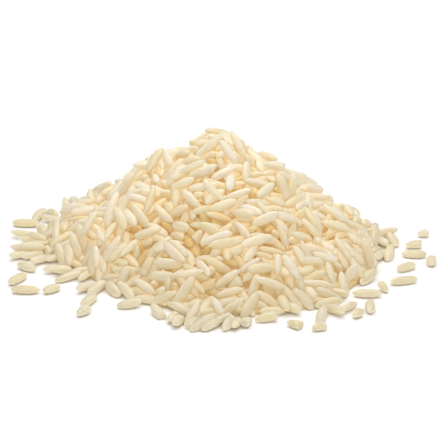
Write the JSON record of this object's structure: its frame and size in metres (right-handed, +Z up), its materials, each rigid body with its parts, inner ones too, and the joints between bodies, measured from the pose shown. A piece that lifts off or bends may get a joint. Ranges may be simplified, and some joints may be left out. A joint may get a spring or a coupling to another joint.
{
  "type": "heap of uncooked long-grain rice",
  "caption": "Loose heap of uncooked long-grain white rice lying on a bare surface, a low uneven cone of slender grains, with single stray grains round its foot.",
  "frame": {"origin": "on the surface that the heap lies on, in the middle of the bounding box of the heap and its stray grains", "axes": "+Z up, +X to the right of the pictured side, which faces -Y"},
  "size_m": [0.0996, 0.0936, 0.0291],
  "materials": {
    "rice": "smooth ivory grain, slightly translucent, satin",
    "stray_rice": "smooth ivory grain, slightly translucent, satin"
  },
  "bodies": {
    "root": {"rice_heap": "rice", "stray_grain_01": "stray_rice", "stray_grain_02": "stray_rice", "stray_grain_03": "stray_rice", "stray_grain_04": "stray_rice", "stray_grain_05": "stray_rice", "stray_grain_06": "stray_rice", "stray_grain_07": "stray_rice", "stray_grain_08": "stray_rice", "stray_grain_09": "stray_rice", "stray_grain_10": "stray_rice", "stray_grain_11": "stray_rice", "stray_grain_12": "stray_rice", "stray_grain_13": "stray_rice", "stray_grain_14": "stray_rice", "stray_grain_15": "stray_rice", "stray_grain_16": "stray_rice", "stray_grain_17": "stray_rice", "stray_grain_18": "stray_rice"}
  },
  "joints": []
}
